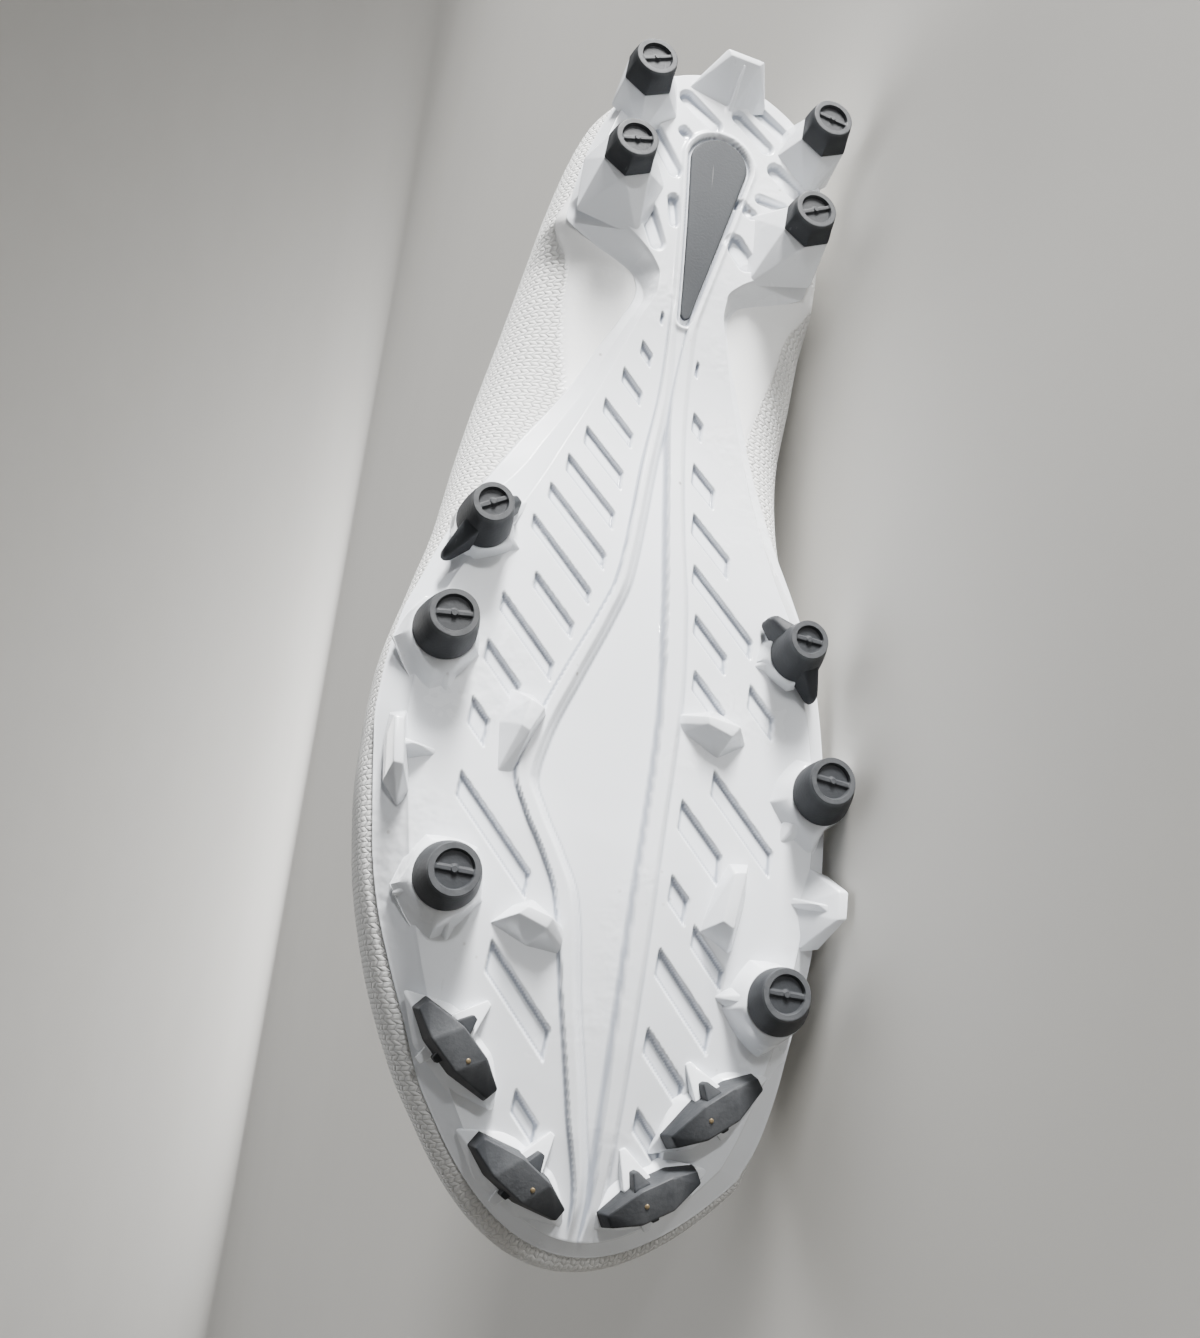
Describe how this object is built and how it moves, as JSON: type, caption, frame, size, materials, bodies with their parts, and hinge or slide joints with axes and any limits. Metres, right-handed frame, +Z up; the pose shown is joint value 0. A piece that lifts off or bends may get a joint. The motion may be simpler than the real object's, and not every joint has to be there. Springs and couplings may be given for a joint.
{
  "type": "american football cleat",
  "caption": "Left low american football cleat with a knitted upper, a moulded plate with slanted slots, grey stud tips and toe blades; it lies on its medial side.",
  "frame": {"origin": "centre of the shoe's bounding box in plan, on the floor it lies on", "axes": "+X from the toe to the heel, -Y the way the sole and its studs face, +Z up, which is the shoe's lateral side"},
  "size_m": [0.2952, 0.1028, 0.1022],
  "materials": {
    "plate": "glossy moulded plastic, slightly bluish white",
    "inset": "satin grey moulded plastic",
    "tips": "satin dark grey moulded plastic, paler on worn rims",
    "knit": "white basket knit with a smooth film over the rear quarter",
    "padding": "padded white knit",
    "footbed": "light grey brushed fabric",
    "lace": "flat woven white lace"
  },
  "bodies": {
    "root": {"outsole": "plate", "heel_inset": "inset", "upper": "knit", "tongue": "padding", "insole": "footbed", "lacing": "lace", "heel_tip_back_lateral": "tips", "heel_tip_back_medial": "tips", "heel_tip_front_lateral": "tips", "heel_tip_front_medial": "tips", "waist_tip_lateral": "tips", "waist_tip_medial": "tips", "ball_tip_back_lateral": "tips", "ball_tip_front_lateral": "tips", "ball_tip_back_medial": "tips", "ball_tip_front_medial": "tips", "toe_blade_back_lateral": "tips", "toe_blade_back_medial": "tips", "toe_blade_front_lateral": "tips", "toe_blade_front_medial": "tips"}
  },
  "joints": []
}
